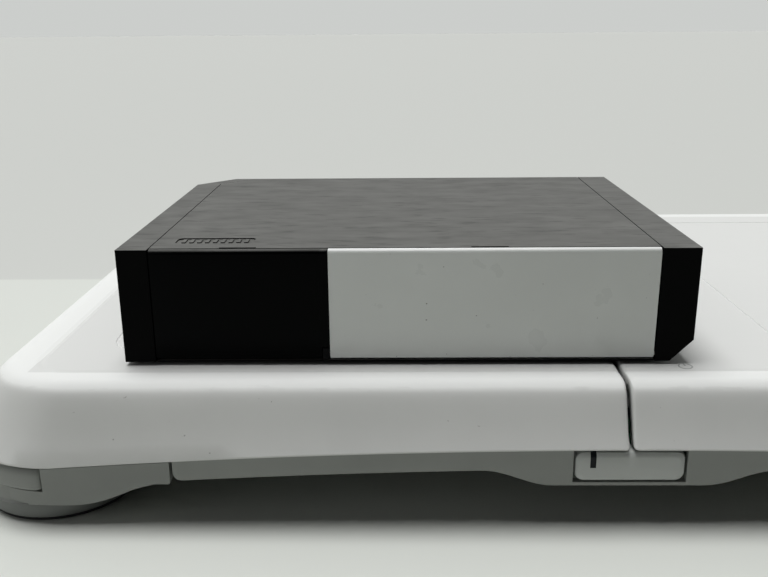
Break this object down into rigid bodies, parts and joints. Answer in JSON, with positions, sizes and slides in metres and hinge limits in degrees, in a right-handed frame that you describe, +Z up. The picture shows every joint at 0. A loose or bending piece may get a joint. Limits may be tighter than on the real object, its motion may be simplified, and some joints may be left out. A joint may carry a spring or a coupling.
{
  "type": "game console with balance board controller",
  "caption": "Slim slab-shaped game console with hinged port covers and a slot-in disc drive, lying flat on a round-cornered balance-board controller that stands on round feet.",
  "frame": {"origin": "on the floor, under the middle of the board", "axes": "+X along the board to the console's front bezel, +Y away from the console's port side, +Z up"},
  "size_m": [0.511, 0.316, 0.0987],
  "materials": {
    "white_cover": "satin, lightly textured",
    "grey_skirt": "satin",
    "white_key": "satin",
    "window": "gloss",
    "black_case": "satin",
    "black_face": "semi-gloss",
    "white_face": "semi-gloss",
    "dark_key": "satin",
    "red_key": "satin",
    "rubber": "matt",
    "steel": "zinc plated",
    "bright_steel": "ground",
    "aluminium": "milled",
    "circuit": "solder mask",
    "chip": "matt",
    "cell": "printed sleeve",
    "inner_plastic": "matt",
    "fan_plastic": "matt",
    "light_guide": "clear",
    "brass": "turned",
    "socket_red": "satin"
  },
  "bodies": {
    "board": {"board_base": "grey_skirt", "board_cover_left": "white_cover", "board_cover_right": "white_cover", "deck_plate": "steel", "frame_rails": "steel", "load_cells": "aluminium", "foot_housing_front_left": "grey_skirt", "foot_housing_front_right": "grey_skirt", "foot_housing_back_left": "grey_skirt", "foot_housing_back_right": "grey_skirt", "foot_discs": "grey_skirt", "foot_pads": "rubber", "end_bumper_left": "grey_skirt", "end_bumper_right": "grey_skirt", "battery_tub": "grey_skirt", "battery_cells": "cell", "board_circuit": "circuit", "board_screws": "steel"},
    "board_power_key": {"board_power_button": "white_key", "board_power_light": "window"},
    "board_sync_key": {"board_sync_button": "red_key"},
    "battery_door": {"battery_door": "grey_skirt"},
    "console": {"case_upper_shell": "black_case", "case_lower_shell": "black_case", "rear_cap": "black_case", "front_bezel": "black_case", "slot_light_guide": "light_guide", "port_panel": "black_case", "controller_sockets": "inner_plastic", "memory_card_housing": "inner_plastic", "mainboard": "circuit", "processor_chips": "chip", "heat_sink": "aluminium", "fan_housing": "fan_plastic", "drive_tray": "steel", "drive_lid": "steel", "sled_rails": "bright_steel", "drive_dampers": "rubber", "front_circuit": "circuit", "card_reader": "steel", "power_inlet": "dark_key", "video_socket": "dark_key", "usb_sockets": "steel", "sensor_bar_socket": "socket_red", "console_feet": "rubber", "case_screws": "steel"},
    "controller_cover": {"controller_port_cover": "white_face"},
    "memory_cover": {"memory_slot_cover": "black_face"},
    "fan_rotor": {"fan_rotor": "fan_plastic"},
    "disc_spindle": {"disc_spindle": "bright_steel"},
    "laser_sled": {"laser_sled": "inner_plastic"},
    "sled_screw": {"sled_screw": "brass"},
    "feed_roller": {"feed_roller": "rubber"},
    "power_key": {"console_power_button": "dark_key"},
    "reset_key": {"reset_button": "dark_key"},
    "eject_key": {"eject_button": "dark_key"},
    "card_door": {"card_door": "black_face"},
    "console_sync_key": {"console_sync_button": "red_key"},
    "clock_tray": {"clock_battery_tray": "black_case", "clock_battery": "bright_steel"}
  },
  "joints": [
    {"name": "console_lift", "type": "slide", "parent": "board", "child": "console", "axis": [0, 0, 1], "range_m": [0, 0.08]},
    {"name": "board_power_press", "type": "slide", "parent": "board", "child": "board_power_key", "axis": [0, 1, 0], "range_m": [0, 0.0015], "stiffness_N_per_m": 800},
    {"name": "board_sync_press", "type": "slide", "parent": "board", "child": "board_sync_key", "axis": [0, 0, 1], "range_m": [0, 0.0008], "stiffness_N_per_m": 800},
    {"name": "battery_door_lift", "type": "slide", "parent": "board", "child": "battery_door", "axis": [0, 0, -1], "range_m": [0, 0.012]},
    {"name": "controller_cover_hinge", "type": "hinge", "parent": "console", "child": "controller_cover", "pos_m": [-0.0485, -0.1283, 0.0572], "axis": [1, 0, 0], "range_deg": [0, 90]},
    {"name": "memory_cover_hinge", "type": "hinge", "parent": "console", "child": "memory_cover", "pos_m": [-0.1425, -0.1283, 0.0572], "axis": [1, 0, 0], "range_deg": [0, 90]},
    {"name": "card_door_hinge", "type": "hinge", "parent": "console", "child": "card_door", "pos_m": [0.0269, -0.062, 0.0686], "axis": [0, 1, 0], "range_deg": [0, 90]},
    {"name": "power_press", "type": "slide", "parent": "console", "child": "power_key", "axis": [-1, 0, 0], "range_m": [0, 0.0008], "stiffness_N_per_m": 800},
    {"name": "reset_press", "type": "slide", "parent": "console", "child": "reset_key", "axis": [-1, 0, 0], "range_m": [0, 0.0008], "stiffness_N_per_m": 800},
    {"name": "eject_press", "type": "slide", "parent": "console", "child": "eject_key", "axis": [-1, 0, 0], "range_m": [0, 0.0008], "stiffness_N_per_m": 800},
    {"name": "console_sync_press", "type": "slide", "parent": "console", "child": "console_sync_key", "axis": [-1, 0, 0], "range_m": [0, 0.0006], "stiffness_N_per_m": 800},
    {"name": "clock_tray_slide", "type": "slide", "parent": "console", "child": "clock_tray", "axis": [0, 1, 0], "range_m": [0, 0.03]},
    {"name": "fan_spin", "type": "hinge", "parent": "console", "child": "fan_rotor", "pos_m": [-0.1655, -0.045, 0.0762], "axis": [1, 0, 0], "continuous": true},
    {"name": "disc_spin", "type": "hinge", "parent": "console", "child": "disc_spindle", "pos_m": [-0.0535, -0.051, 0.0817], "axis": [0, 0, 1], "continuous": true},
    {"name": "sled_slide", "type": "slide", "parent": "console", "child": "laser_sled", "axis": [-1, 0, 0], "range_m": [0, 0.028]},
    {"name": "sled_screw_turn", "type": "hinge", "parent": "console", "child": "sled_screw", "pos_m": [-0.0875, -0.074, 0.0817], "axis": [1, 0, 0], "range_deg": [0, 3361]},
    {"name": "feed_roller_spin", "type": "hinge", "parent": "console", "child": "feed_roller", "pos_m": [0.0005, -0.051, 0.0831], "axis": [0, 1, 0], "continuous": true}
  ],
  "couplings": [
    {"joint": "sled_screw_turn", "follows": "sled_slide", "rad_per_m": 2094.4}
  ]
}
